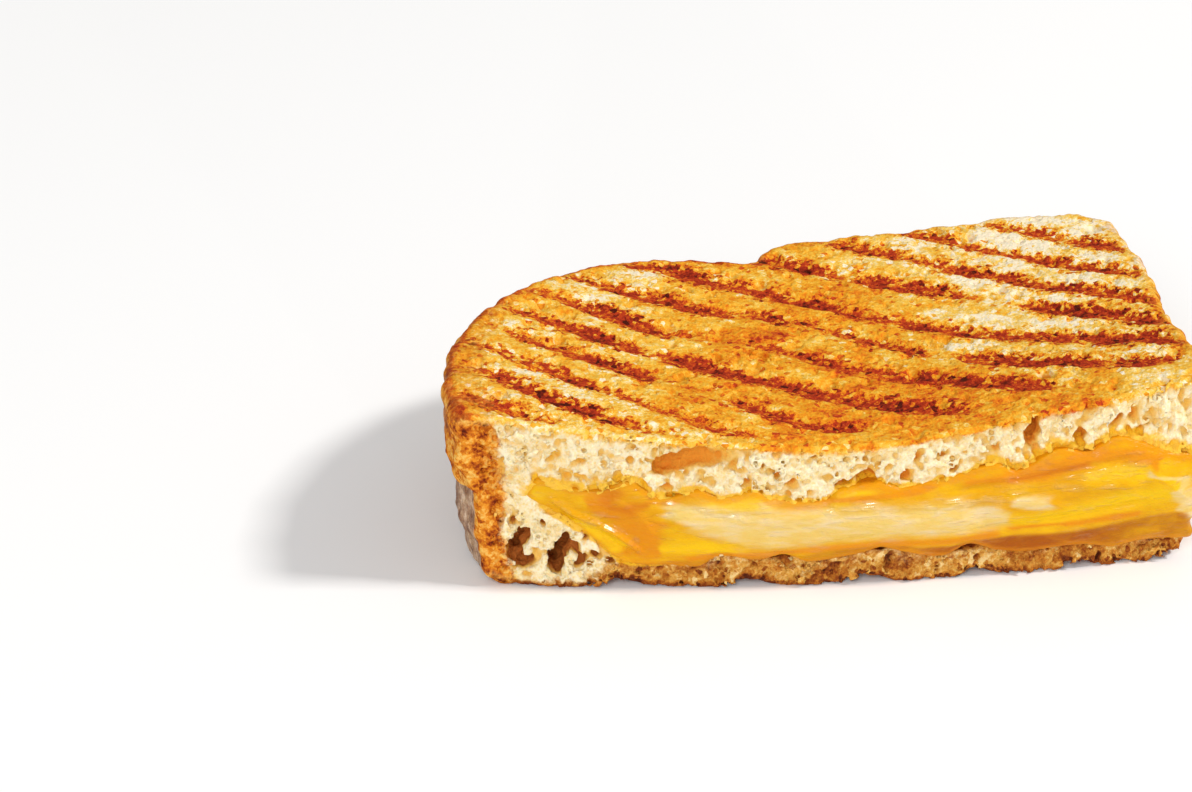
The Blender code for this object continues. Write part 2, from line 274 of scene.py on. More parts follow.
def crust_depth(x, y):
    """How far inside the crust a point of the plan is, below zero outside."""
    x, y = np.broadcast_arrays(x, y)
    nearest = np.full(x.shape, FAR_AWAY)
    crossings = np.zeros(x.shape, int)
    far_front = [(CRUST[-1, 0], FRONT_REACH), (CRUST[0, 0], FRONT_REACH)]
    ring = np.concatenate([CRUST, far_front, CRUST[:1]])
    for number, (start, end) in enumerate(zip(ring[:-1], ring[1:])):
        run = end - start
        dx, dy = x - start[0], y - start[1]
        if number < len(CRUST) - 1:
            share = np.clip((dx * run[0] + dy * run[1]) / (run @ run), 0, 1)
            apart = (dx - share * run[0]) ** 2 + (dy - share * run[1]) ** 2
            nearest = np.minimum(nearest, apart)
        if run[1]:
            spans = (start[1] > y) != (end[1] > y)
            crossings += spans & (dx < run[0] * dy / run[1])
    return np.sqrt(nearest) * np.where(crossings % 2 == 1, 1, -1)


def rib_position(x, y):
    return -math.sin(RIB_ANGLE) * x + math.cos(RIB_ANGLE) * y


def toasted_top(x, y):
    return table(TOP_Z, x, y)


def layer(profile, x, y):
    """Height of a layer's surface: the profile at the cut, thinning evenly towards the back."""
    middle = (curve(CHEESE_TOP, x) + curve(CHEESE_BOTTOM, x)) / 2
    share = 1 - (1 - BACK_SHARE) * np.maximum(y, 0) / CRUST_DEPTH
    return middle + (curve(profile, x) - middle) * share


def white_surface(knots, x, y):
    """The white layer's surface, and the seam between the yellow layers beyond its ends."""
    inside = (x > knots[0][0]) & (x < knots[-1][0])
    return np.where(inside, layer(knots, x, y), layer(SEAM, x, y))


# ---- randomness


class Roughness:
    """Smooth random values from -1 to 1 over the whole sandwich, changing over one size."""

    LOW = np.array((-84.0, -16.0, -8.0))
    HIGH = np.array((76.0, 94.0, 50.0))

    def __init__(self, seed, size):
        self.size = np.array(size if isinstance(size, tuple) else (size,) * 3, float)
        counts = np.ceil((self.HIGH - self.LOW) / self.size).astype(int) + 2
        self.values = np.random.default_rng(SEED + seed).uniform(-1, 1, counts)

    def _cells(self, coordinates, axis):
        place = (coordinates - self.LOW[axis]) / self.size[axis]
        index = np.clip(np.floor(place).astype(int), 0, self.values.shape[axis] - 2)
        share = np.clip(place - index, 0, 1)
        return index, share * share * (3 - 2 * share)

    def grid(self, xs, ys, zs):
        """Values at every crossing of three sets of coordinates."""
        result = self.values
        for axis, coordinates in enumerate((xs, ys, zs)):
            index, share = self._cells(np.asarray(coordinates, float), axis)
            share = share.reshape([-1 if n == axis else 1 for n in range(3)])
            low, high = np.take(result, index, axis), np.take(result, index + 1, axis)
            result = low * (1 - share) + high * share
        return result

    def at(self, x, y, z):
        """Values at scattered points."""
        (i, a), (j, b), (k, c) = (self._cells(v, n) for n, v in enumerate((x, y, z)))
        total = 0
        for di, wi in ((0, 1 - a), (1, a)):
            for dj, wj in ((0, 1 - b), (1, b)):
                for dk, wk in ((0, 1 - c), (1, c)):
                    total = total + wi * wj * wk * self.values[i + di, j + dj, k + dk]
        return total


class Layered:
    """Roughnesses added up, each as (seed, size, amount)."""

    def __init__(self, *parts):
        self.parts = [(Roughness(seed, size), amount) for seed, size, amount in parts]

    def grid(self, xs, ys, zs):
        return sum(part.grid(xs, ys, zs) * amount for part, amount in self.parts)

    def at(self, x, y, z):
        return sum(part.at(x, y, z) * amount for part, amount in self.parts)

    def plan(self, xs, ys):
        return self.grid(xs, ys, [0.0])[:, :, 0]

    def plan_at(self, x, y):
        return self.at(x, y, np.zeros_like(x))


TOAST_RELIEF = Layered((1, 5.0, 0.2), (2, 2.2, 0.12), (3, 1.2, 0.15), (4, 0.75, 0.16))
RIB_WANDER = Layered((5, 7.0, 0.5), (6, 2.4, 0.45), (7, 1.3, 0.25))
CUT_ROUGHNESS = Layered((8, 5.0, 0.35), (9, 1.8, 0.2), (10, 0.8, 0.16))
CRUST_ROUGHNESS = Layered((11, 9.0, 0.8), (12, 3.4, 0.5), (13, 1.4, 0.24))
PORE_WARP = Layered((14, 1.3, 0.42), (15, 0.65, 0.24))
EDGE_WAVES = Layered((16, 5.0, 0.35), (17, 1.8, 0.3))
CHEESE_FOLDS = Layered(
    (18, (17.0, 9.0, 5.0), 0.55), (19, (7.0, 5.0, 2.6), 0.28), (20, (3.0, 2.2, 1.8), 0.26)
)
HEAT_PATCHES = Layered((21, 14.0, 0.14), (22, 5.0, 0.13), (23, 2.2, 0.08))
MARBLING = Layered((24, (10.0, 6.0, 2.6), 0.7), (25, (4.0, 4.0, 1.3), 0.4))
RAGGED_EDGE = Layered((26, 6.0, 0.7), (27, 2.2, 0.6), (28, 1.1, 0.35))
SPONGE = Layered((29, (1.5, 1.4, 1.7), 0.72), (30, 0.8, 0.6))


# ---- grooves


def nearest_mark(x, y, first, marks):
    """Distance from the middle of the nearest rib mark, and how dark that mark is."""
    across = rib_position(x, y) - first
    distance, darkness = np.full(across.shape, FAR_AWAY), np.zeros(across.shape)
    for number, mark in enumerate(marks):
        off = across - number * RIB_PITCH - curve(mark, x, 2)
        nearer = np.abs(off) < np.abs(distance)
        distance = np.where(nearer, off, distance)
        darkness = np.where(nearer, curve(mark, x), darkness)
    return distance, darkness


def top_mark(x, y):
    """The top's nearest mark, fading before the cut and at the crust."""
    distance, darkness = nearest_mark(x, y, TOP_FIRST_RIB, RIB_MARKS)
    end = curve(MARK_ENDS, x)
    behind = y - cut_line(x)
    darkness = darkness * ease(end - MARK_FADE_BEFORE, end + MARK_FADE_BEYOND, behind)
    return distance, darkness * ease(0.4, 3, crust_depth(x, y))


def under_mark(x, y):
    """The underside's nearest mark: all of them straight and equally dark."""
    plain = (((-80, 0.8, 0.0), (80, 0.8, 0.0)),) * len(RIB_MARKS)
    return nearest_mark(x, y, UNDER_FIRST_RIB, plain)


def groove(distance, depth):
    outer, inner = RIB_MOUTH / 2 + RIB_EASE, RIB_FLOOR / 2 - RIB_EASE
    return depth * ease(outer, inner, np.abs(distance))


def top_surface(x, y, wander, relief):
    """The toasted top with its grain, and with grooves that are deeper where they are darker."""
    distance, darkness = top_mark(x, y)
    depth = TOP_RIB_DEPTH * (PALE_GROOVE + DARK_GROOVE * np.minimum(darkness, 1))
    return toasted_top(x, y) - groove(distance + wander, depth) + relief


def under_roughness(x, y):
    """How rough the underside is: roughest where the crumb crumbles at the cut."""
    return 0.9 + 1.6 * ease(5, 1, y - cut_line(x))


def under_surface(x, y, wander, relief):
    """The toasted underside: its lands touch the table."""
    distance, _ = under_mark(x, y)
    return groove(distance + wander, UNDER_GROOVE * UNDER_RIB_DEPTH) + np.abs(relief)


# ---- fields and meshes


FINE_TO = 4.0  # y up to which the fine step goes, behind the cut
STEP_GROWTH = 1.08


def depth_axis(low, high, fine, coarse):
    """Coordinates from the cut backwards: a fine step at first, opening out to a coarse one."""
    places = list(np.arange(low, FINE_TO, fine))
    step = fine
    while places[-1] < high:
        step = min(step * STEP_GROWTH, coarse)
        places.append(places[-1] + step)
    return np.array(places)


def rounded(depths, radius):
    """A solid's field from its depths inside each bounding surface, with round edges."""
    short = sum(np.maximum(radius - depth, 0) ** 2 for depth in depths)
    return np.sqrt(short) - radius


def ellipsoid(place, centre, radii, tilt):
    """Field of an ellipsoid turned in the plane of the cut, at a block of grid coordinates."""
    dx, dy, dz = (p - c for p, c in zip(place, centre))
    along = dx * math.cos(tilt) + dz * math.sin(tilt)
    up = dz * math.cos(tilt) - dx * math.sin(tilt)
    reach = np.sqrt((along / radii[0]) ** 2 + (dy / radii[1]) ** 2 + (up / radii[2]) ** 2)
    return (reach - 1) * min(radii)


def carve(field, axes, pores):
    """Takes pores, as (centre, radii, tilt), out of the field, each with a rough wall."""
    warp = PORE_WARP.grid(*axes)
    for centre, radii, tilt in pores:
        reach = max(radii) * 1.5 + 0.6
        block = tuple(
            slice(np.searchsorted(axis, c - reach), np.searchsorted(axis, c + reach))
            for axis, c in zip(axes, centre)
        )
        if min(part.stop - part.start for part in block) < 1:
            continue
        place = np.ix_(*(axis[part] for axis, part in zip(axes, block)))
        hole = ellipsoid(place, centre, radii, tilt) + warp[block] * min(1.0, min(radii))
        field[block] = np.maximum(field[block], -hole)


def surface_net(field, axes):
    """Points and four-sided faces of the surface where the field passes zero."""
    cells = np.array(field.shape) - 1
    sums = np.zeros((4, cells.prod()))
    faces = []
    for axis in range(3):
        low = tuple(slice(0, -1) if n == axis else slice(None) for n in range(3))
        high = tuple(slice(1, None) if n == axis else slice(None) for n in range(3))
        start, end = field[low], field[high]
        edge = np.argwhere((start < 0) != (end < 0))
        a, b = start[tuple(edge.T)], end[tuple(edge.T)]
        places = [axes[n][edge[:, n]] for n in range(3)]
        step = axes[axis][edge[:, axis] + 1] - places[axis]
        places[axis] = places[axis] + a / (a - b) * step
        u, v = (axis + 1) % 3, (axis + 2) % 3
        ring = []
        for back_u, back_v in ((0, 0), (1, 0), (1, 1), (0, 1)):
            cell = edge.copy()
            cell[:, u] -= back_u
            cell[:, v] -= back_v
            flat = np.ravel_multi_index(cell.T, cells)
            ring.append(flat)
            for n in range(3):
                sums[n] += np.bincount(flat, places[n], len(sums[n]))
            sums[3] += np.bincount(flat, minlength=len(sums[3]))
        ring = np.stack(ring, 1)
        outward = a < 0
        faces.append(np.where(outward[:, None], ring, ring[:, ::-1]))
    used = np.flatnonzero(sums[3])
    number = np.full(len(sums[3]), -1)
    number[used] = np.arange(len(used))
    points = (sums[:3, used] / sums[3, used]).T
    return points, number[np.concatenate(faces)]


def relax(points, faces, rounds, amount=0.5):
    """Moves each point towards the middle of its neighbours."""
    starts = faces.ravel()
    ends = np.roll(faces, -1, axis=1).ravel()
    count = np.bincount(starts, minlength=len(points))[:, None]
    for _ in range(rounds):
        total = np.stack(
            [np.bincount(starts, points[ends, n], len(points)) for n in range(3)], 1
        )
        points = points + amount * (total / count - points)
    return points


def largest_body(points, faces):
    """Drops the loose specks that noise or pores cut off."""
    label = np.arange(len(points))
    while True:
        lowest = label[faces].min(1)
        new = label.copy()
        for corner in range(4):
            np.minimum.at(new, faces[:, corner], lowest)
        new = new[new]
        if (new == label).all():
            break
        label = new
    biggest = np.bincount(label).argmax()
    kept = label[faces[:, 0]] == biggest
    used = np.flatnonzero(label == biggest)
    number = np.full(len(points), -1)
    number[used] = np.arange(len(used))
    return points[used], number[faces[kept]]


def mesh_object(name, points, faces):
    """An object from points in the sandwich's plan and four-sided faces."""
    mesh = bpy.data.meshes.new(name)
    mesh.vertices.add(len(points))
    mesh.vertices.foreach_set("co", ((points + ORIGIN) * MM).astype(np.float32).ravel())
    mesh.loops.add(faces.size)
    mesh.loops.foreach_set("vertex_index", faces.astype(np.int32).ravel())
    mesh.polygons.add(len(faces))
    mesh.polygons.foreach_set("loop_start", np.arange(0, faces.size, 4, dtype=np.int32))
    mesh.update(calc_edges=True)
    obj = bpy.data.objects.new(name, mesh)
    bpy.context.scene.collection.objects.link(obj)
    return obj


def thin_out(obj, most_triangles):
    """Merges faces where the surface is flattest until at most this many triangles are left."""
    triangles = 2 * len(obj.data.polygons)
    if triangles > most_triangles:
        decimate = obj.modifiers.new("thin_out", "DECIMATE")
        decimate.ratio = most_triangles / triangles
        graph = bpy.context.evaluated_depsgraph_get()
        thinned = bpy.data.meshes.new_from_object(obj.evaluated_get(graph))
        obj.modifiers.clear()
        obj.data = thinned
    obj.data.shade_smooth()


def plan_points(obj):
    """The object's points, back in the sandwich's plan."""
    flat = np.empty(len(obj.data.vertices) * 3, np.float32)
    obj.data.vertices.foreach_get("co", flat)
    return (flat.reshape(-1, 3).astype(float) / MM - ORIGIN).T


def store(obj, **values):
    """Keeps one number for each point under each name, for the materials to read."""
    for name, value in values.items():
        attribute = obj.data.attributes.new(name, "FLOAT", "POINT")
        attribute.data.foreach_set("value", np.asarray(value, np.float32))


# ---- bread

FINE, COARSE = 0.33, 0.62  # the field's steps at the cut and at the back
MOST_TRIANGLES = 197_000
UPPER_HEIGHTS, LOWER_HEIGHTS = (15.0, 40.6), (-0.8, 22.6)  # what each slice's field covers
UPPER_GRIP, LOWER_GRIP = 0.8, 0.6  # how far each slice reaches into the cheese
SCATTER_X, SCATTER_Y = (-70, 63), (-4, 80)  # the plan's stretch that gets pores
TOP_CRUMB_PORES, TOP_PITS, BOTTOM_CRUMB_PORES = 3000, 1500, 2400
# How round the edges are: toast to crust, cheese side or cut to crust, and toast to cut.
SHOULDER = 2.4
CORNER = 1.4
TOP_BRINK = 0.8
UNDER_BRINK = 0.9
# Knobs of crust: how far each stands out, and its y and z; then how long and high they are.
CRUST_KNOBS = ((1.5, 4, 33), (0.9, 1, 26), (0.7, 12, 30))
KNOB_LENGTH, KNOB_HEIGHT = 3.4, 3.0


def bread_axes(low_z, high_z):
    return (
        np.arange(CRUST[:, 0].min() - 2.0, CRUST[:, 0].max() + 2.0, FINE),
        depth_axis(-CUT_BULGE - 1.8, CRUST_DEPTH + 1.5, FINE, COARSE),
        np.arange(low_z, high_z, FINE),
    )


def soaked_layer(profile, edge, x, y):
    """A layer's surface, with its ragged edge near the cut."""
    near = ease(9, 1, y - cut_line(x))
    return layer(profile, x, y) + (curve(edge, x) - curve(profile, x)) * near


def cheese_top(x, y):
    return soaked_layer(CHEESE_TOP, UPPER_EDGE, x, y)


def cheese_bottom(x, y):
    return soaked_layer(CHEESE_BOTTOM, LOWER_EDGE, x, y)


def large_pores(rows):
    for x, z, wide, deep, high, tilt in rows:
        yield (x, cut_line(x) + 0.3, z), (wide / 2, deep / 2, high / 2), math.radians(tilt)


def crumb_pores(seed, count, low, high, left):
    """Small pores that open on the cut between two heights: very many small, a few wider."""
    draw = np.random.default_rng(SEED + seed)
    for _ in range(count):
        x, share = draw.uniform(left, SCATTER_X[1]), draw.uniform()
        size = min(0.24 + 0.12 * draw.exponential(), 1.0)
        stretch = draw.uniform(0.75, 1.35, 3)
        tall = 1 + 0.9 * ease(12, 45, x)
        z = low(x) + share * (high(x) - low(x))
        sunk = draw.uniform(-0.1, 0.8) * size
        radii = (size * stretch[0] / tall**0.4, size * stretch[1], size * stretch[2] * tall)
        yield (x, cut_line(x) + sunk, z), radii, draw.uniform(-0.5, 0.5)


def sponge(axes, behind_cut, inside_crumb):
    """Field of the irregular hollows between the crumb's strands, open at the cut."""
    strands = SPONGE.grid(*axes)
    hollow = 1.2 * (strands - 0.24) - 1.2 * np.maximum(behind_cut - 0.8, 0)
    return hollow - np.maximum(0.9 - inside_crumb, 0)


def toast_pits(seed, count, height):
    """Shallow open pores in a toasted face."""
    draw = np.random.default_rng(SEED + seed)
    for _ in range(count):
        x, y = draw.uniform(*SCATTER_X), draw.uniform(*SCATTER_Y)
        size = min(0.35 + 0.25 * draw.exponential(), 1.5)
        radii = (size * draw.uniform(0.8, 1.5), size * draw.uniform(0.8, 1.5), size * 0.8)
        yield (x, y, height(x, y) + draw.uniform(-0.3, 0.2) * size), radii, 0.0


def upper_lean(x, z):
    """How far the upper slice's crust draws in towards its underside, most at the left."""
    return (1.4 + 0.6 * ease(-50, -68, x)) * ease(25, 16, z)


def lower_lean(x, z):
    """How far the lower slice's crust is set in, more towards the table."""
    left = ease(-50, -68, x)
    return LOWER_SLICE_INSET + 0.4 * left + (1.6 + 0.8 * left) * ease(12, 0, z)


def crust_knobs(y, z):
    """How far knobs of crust stand out at the upper slice's left end."""
    return sum(
        height * np.exp(-(((y - at_y) / KNOB_LENGTH) ** 2) - ((z - at_z) / KNOB_HEIGHT) ** 2)
        for height, at_y, at_z in CRUST_KNOBS
    )


def bread_slice(axes, toasted, cheesy, inside, behind_cut, brink, crumb_depth, pores):
    """A slice between its toasted face and its cheese side, from the depths below its surfaces."""
    field = sponge(axes, behind_cut, crumb_depth)
    for first, second, radius in ((toasted, inside, SHOULDER), (cheesy, inside, CORNER),
                                  (toasted, behind_cut, brink), (inside, behind_cut, CORNER)):
        field = np.maximum(field, rounded((first, second), radius))
    carve(field, axes, pores)
    return largest_body(*surface_net(field, axes))


def top_slice():
    axes = xs, ys, zs = bread_axes(*UPPER_HEIGHTS)
    x, y = xs[:, None], ys[None, :]
    top = top_surface(x, y, RIB_WANDER.plan(xs, ys), TOAST_RELIEF.plan(xs, ys))
    under = cheese_top(x, y) - UPPER_GRIP + EDGE_WAVES.plan(xs, ys)
    lean = upper_lean(xs[:, None, None], zs)
    inside = crust_depth(x, y)[:, :, None] + CRUST_ROUGHNESS.grid(xs, ys, zs) - lean
    inside += crust_knobs(ys[:, None], zs) * ease(-60, -68, xs)[:, None, None]
    below_top = top[:, :, None] - zs
    behind_cut = (y - cut_line(x))[:, :, None] + CUT_ROUGHNESS.grid(xs, ys, zs)
    pores = chain(
        large_pores(TOP_LARGE_PORES),
        crumb_pores(31, TOP_CRUMB_PORES, lambda at: curve(UPPER_EDGE, at) + 0.2,
                    lambda at: toasted_top(at, 0.0) - 0.8, -69.0),
        toast_pits(32, TOP_PITS, toasted_top),
    )
    return bread_slice(axes, below_top, zs - under[:, :, None], inside, behind_cut, TOP_BRINK,
                       np.minimum(below_top, inside - 3.0), pores)


def bottom_slice():
    axes = xs, ys, zs = bread_axes(*LOWER_HEIGHTS)
    x, y = xs[:, None], ys[None, :]
    relief = under_roughness(x, y) * TOAST_RELIEF.plan(xs, ys)
    under = under_surface(x, y, RIB_WANDER.plan(xs, ys), relief)
    top = cheese_bottom(x, y) + LOWER_GRIP + EDGE_WAVES.plan(xs, ys)
    wear = CRUST_ROUGHNESS.grid(xs, ys, zs + 9.0)
    inside = crust_depth(x, y)[:, :, None] + wear - lower_lean(xs[:, None, None], zs)
    above_under = zs - under[:, :, None]
    behind_cut = (y - cut_line(x))[:, :, None] + 1.4 * CUT_ROUGHNESS.grid(xs, ys, zs)
    pores = chain(
        large_pores(BOTTOM_LARGE_PORES),
        crumb_pores(33, BOTTOM_CRUMB_PORES, lambda at: 0.5,
                    lambda at: curve(LOWER_EDGE, at) + 0.4, -66.0),
    )
    return bread_slice(axes, above_under, top[:, :, None] - zs, inside, behind_cut, UNDER_BRINK,
                       np.minimum(above_under + 0.3, inside - 2.0), pores)


def land_heat(x, y):
    return table(LAND_HEAT, x, y) + HEAT_PATCHES.plan_at(x, y)


def bread_points(obj):
    """A slice's points with the random values and distances that its looks need."""
    x, y, z = plan_points(obj)
    relief, wander = TOAST_RELIEF.plan_at(x, y), RIB_WANDER.plan_at(x, y)
    return x, y, z, relief, wander, RAGGED_EDGE.at(x, y, z), y - cut_line(x)


def paint_top_slice(obj):
    x, y, z, relief, wander, ragged, behind = bread_points(obj)
    depth = top_surface(x, y, wander, relief) - z
    distance, darkness = top_mark(x, y)
    from_crust = crust_depth(x, y) - upper_lean(x, z)
    crust_band = 1.8 + 5.0 * ease(-56, -68, x) + 1.2 * ragged
    toast_band = 2.6 + 1.3 * ragged
    soaked_band = 1.8 + 1.5 * ragged + 2 * ease(14, 36, x)
    store(
        obj,
        browning=land_heat(x, y) + 0.12 * ease(6, 2, from_crust)
        + 0.42 * ease(2.4, 0.6, from_crust) * ease(4, -24, x),
        rib=np.abs(distance + wander),
        char=darkness * ease(2.2, 1, depth),
        toast=1 - ease(0.5, toast_band, depth),
        crust=1 - ease(crust_band - 2.6, crust_band + 3, from_crust),
        skin=(1 - ease(0.3, 1.1, from_crust)) * ease(1, 3, depth) * ease(8, 20, behind),
        # Painted shade inside the pores: stronger the further behind the cut and below the top.
        cavity=ease(0.3, 2.3, behind) * ease(0.4, 1.4, depth),
        soak=0.24 * ease(-24, -44, x) * ease(toast_band, toast_band + 2, depth)
        * ease(6, 9, from_crust)
        + ease(soaked_band, 0, z - cheese_top(x, y)) * ease(-62, -57, x),
        relief=relief,
    )


def paint_bottom_slice(obj):
    x, y, z, relief, wander, ragged, behind = bread_points(obj)
    height = z - under_surface(x, y, wander, under_roughness(x, y) * relief)
    distance, darkness = under_mark(x, y)
    from_crust = crust_depth(x, y) - lower_lean(x, z)
    crust_band = 1.8 + 3.4 * ease(-54, -63, x) + 1.0 * ragged
    toast_band = 2.2 + 0.8 * ragged + 12.0 * ease(-50, -40, x)
    soaked_band = 0.9 + 0.9 * ragged + 1.2 * ease(-38, -46, x)
    store(
        obj,
        # Browning, plus painted shade in the gaps from 0.7 to 7 mm behind the cut.
        browning=0.3 + 0.16 * ragged + 0.22 * ease(1.4, 0.2, height)
        + 0.34 * ease(0.7, 1.8, behind) * ease(7, 4, behind),
        rib=np.abs(distance + wander),
        char=darkness * ease(1.4, 0.5, height),
        toast=1 - ease(0.3, toast_band, height),
        crust=1 - ease(crust_band - 2, crust_band + 1.8, from_crust),
        skin=(1 - ease(0.3, 1.1, from_crust)) * ease(1, 3, behind),
        # Painted shade inside the pores: stronger the further behind the cut.
        cavity=ease(0.4, 2, behind),
        soak=ease(soaked_band, 0, cheese_bottom(x, y) - z)
        * ease(-60, -56, x) * ease(-30, -42, x),
        relief=relief,
    )


# ---- cheese

CHEESE_STEP, CHEESE_COARSE = 0.36, 1.0
CHEESE_TRIANGLES = 120_000
CHEESE_LOW_Z, CHEESE_HIGH_Z = 3.0, 28.5
LIP = 2.6  # how broad the rolled lip is at the edges of the cut
SEAM_OVERLAP = 0.9  # how far the yellow layers reach into the pale one, to close the seams
CHEESE_EDGE, FRONT_EDGE = 1.5, 2.4  # how round the sides and the edges of the belly are
FRONT_FOLDS, SIDE_FOLDS, END_FOLDS = 0.45, 1.2, 0.6
# How far the belly stands out of the cut, along it.
BULGE = (
    (-60, 0.1), (-50, 0.4), (-42, 0.6), (-30, 0.7), (-14, 1), (10, 1), (30, 0.9), (44, 1.1),
    (56, 1.4), (66, 1.3),
)
# Lines drawn in the plane of the cut, with knots of x, z and half height. Ridges and furrows:
# each line's own height first.
RIDGES = (
    (0.8, ((-34, 14.6, 2), (-22, 13.4, 4), (-6, 13.6, 3.6), (10, 13.9, 3.4), (20, 14.2, 2.6))),
    (0.7, ((24, 15, 2.5), (36, 16, 4), (50, 18.6, 4), (60, 17, 4))),
    (0.8, ((-56, 19, 0.6), (-51, 15.6, 0.9), (-46, 13.2, 1), (-39, 8.3, 0.9))),
    (-0.5, ((-57, 17.6, 0.4), (-51, 13.8, 0.5), (-46, 11.3, 0.6), (-40, 7, 0.5))),
    (-0.7, ((8, 6.6, 1), (18, 6.6, 1.3), (27, 7, 1.6), (40, 6.8, 2), (52, 7.6, 2.6),
            (60, 7.8, 3))),
    (-0.4, ((-12.5, 14.6, 0.3), (-9, 13.3, 0.35), (-5.5, 11.6, 0.3))),
    (-0.5, ((17, 19.4, 0.5), (26, 20, 0.7), (33, 20.9, 0.8), (42, 22.4, 0.8), (50, 23.2, 0.6))),
    (0.5, ((27.5, 16.8, 0.7), (32, 16.4, 1.7), (37.5, 15, 0.8))),
    (0.4, ((-36, 8.8, 0.7), (-30, 9.2, 0.9), (-22, 8, 0.7))),
    (-0.4, ((-28, 16.4, 0.4), (-22, 16.2, 0.5), (-15, 16.3, 0.4))),
    (0.5, ((40, 19.2, 0.5), (46, 18.4, 0.8), (52, 18.2, 0.6))),
    (0.9, ((54, 20.4, 0.8), (57.5, 17.6, 1), (61, 14.4, 1))),
    (-0.5, ((23, 11.6, 0.4), (32, 11.8, 0.5), (44, 13, 0.6), (55, 14.8, 0.5))),
    (0.35, ((-44, 18.8, 0.5), (-40, 15.8, 0.8), (-37, 12, 0.8), (-34, 9.6, 0.5))),
    (0.7, ((-52, 16.3, 0.4), (-48, 14.7, 0.5), (-44, 12.3, 0.5), (-40, 9.1, 0.4))),
    (0.35, ((-3, 16.8, 0.4), (4, 17.1, 0.6), (12, 16.8, 0.6), (20, 17.1, 0.6), (27, 17.8, 0.4))),
    (0.4, ((46, 22.3, 0.4), (50, 22.5, 0.7), (54, 21.7, 0.5))),
    (0.35, ((26, 19.8, 0.4), (30, 20.3, 0.5), (34, 20, 0.4))),
)
# Where each colour or wet gleam runs.
PALE_LINES = (
    ((-37, 16.2, 1.2), (-33, 15.9, 2.2), (-27, 14.9, 3.3), (-18, 13.2, 4.7), (-8, 13.6, 4),
     (8, 13.8, 3.8), (18, 14, 3.5), (24, 13.4, 2.8), (29, 13, 1.8)),
    ((27.6, 16.8, 0.5), (32, 16.2, 1.3), (37.6, 15, 0.5)),
    ((53.6, 20.8, 0.7), (57.5, 18, 1.2), (61, 14, 2.4), (65, 11, 4.6)),
)
ORANGE_LINES = (
    ((-50, 19.2, 1), (-45, 15.6, 4.6), (-41, 12.5, 6), (-37, 10.4, 4.2), (-33, 8.2, 1.2)),
    ((17, 20.2, 0.6), (26, 21, 1.3), (33, 22, 2), (42, 24, 2), (50, 24.2, 1.5),
     (57, 21.6, 1)),
    ((-30, 7, 0.8), (-12, 8, 0.9), (0, 9, 1), (12, 8.9, 1.1), (24, 9.2, 1)),
    ((-8, 18, 0.3), (4, 19.4, 0.9), (12, 19.6, 0.8)),
    ((26, 10.4, 0.6), (40, 10.6, 0.7), (54, 12, 0.8)),
)
BURNT_LINES = (
    ((-49, 20.6, 0.8), (-45, 19.2, 1.8), (-41.6, 17.2, 1.6), (-38, 18.4, 0.6)),
    ((-2, 22.2, 0.5), (2, 22, 0.9), (4, 21.8, 0.5)),
    ((27, 20.6, 0.6), (34, 21.4, 0.7), (42, 22.8, 0.7)),
)
BRIGHT_LINES = (
    ((-60, 19.4, 0.5), (-55, 15.9, 1.2), (-49, 11.9, 1.7), (-43, 7.6, 1.5), (-40, 6, 0.7)),
    ((-37, 8.8, 0.6), (-31, 9.8, 1.5), (-24, 8.4, 0.9), (-20, 7.6, 0.5)),
    ((-29, 17.6, 0.4), (-22, 18.1, 1.2), (-15, 17.7, 0.7)),
    ((25, 12.8, 1.6), (36, 12.4, 2), (46, 14.4, 2.4), (54, 15.4, 2.6), (60, 16, 1.5)),
    ((40, 20, 1), (50, 20.6, 1.4), (57, 19, 1)),
    ((-6, 19, 0.4), (2, 20.4, 0.7), (6, 19.6, 0.5)),
)
WET_LINES = (
    ((-54, 17.6, 0.5), (-50, 15.2, 0.9), (-45, 12.8, 0.9), (-39, 8.8, 0.6)),
    ((-29, 17.4, 0.5), (-23, 16.6, 0.8), (-17, 15.2, 0.9), (-12, 13.6, 0.5)),
    ((-6, 16.6, 0.6), (4, 16.8, 1.1), (16, 16.8, 1.1), (25, 17.2, 0.9), (30, 18.6, 0.6)),
    ((27, 20.4, 0.5), (31, 19.4, 0.8), (38, 18.2, 0.9), (46, 18.6, 0.7)),
    ((37, 21.2, 0.6), (42, 20.8, 0.9), (50, 22, 1.2), (54, 20.6, 0.6)),
)
AMBER_TOP = (
    (-46, 3), (-41, 5.4), (-30, 6.4), (-18, 7.2), (-12, 6.8), (-4, 8.2), (6, 8.3), (17, 7.6),
    (27, 8.8), (40, 8.8), (51, 10.3), (58, 11.2), (66, 10.8),
)
LINE_END = 1.2  # how far a line fades past its ends


def line(x, z, knots, sharp=2):
    """1 along a line drawn in the plane of the cut, falling to 0 beyond its half height."""
    first, last = knots[0][0], knots[-1][0]
    ends = ease(first - LINE_END, first + LINE_END, x)
    ends = ends * ease(last + LINE_END, last - LINE_END, x)
    return np.exp(-np.abs((z - curve(knots, x)) / curve(knots, x, 2)) ** sharp) * ends


def standing_out(x, z):
    """How far the cheese stands out of the cut: a rolled lip, a belly and its folds."""
    from_edge = np.minimum(curve(UPPER_EDGE, x) + 0.3 - z, z - curve(LOWER_EDGE, x) + 0.2)
    share = np.clip(from_edge / LIP, 0, 1)
    belly = -0.15 + (curve(BULGE, x) + 0.15) * ease(-0.4, 1, share)
    folds = sum(height * line(x, z, knots) for height, knots in RIDGES)
    return belly + np.minimum(from_edge, 0) + folds * share


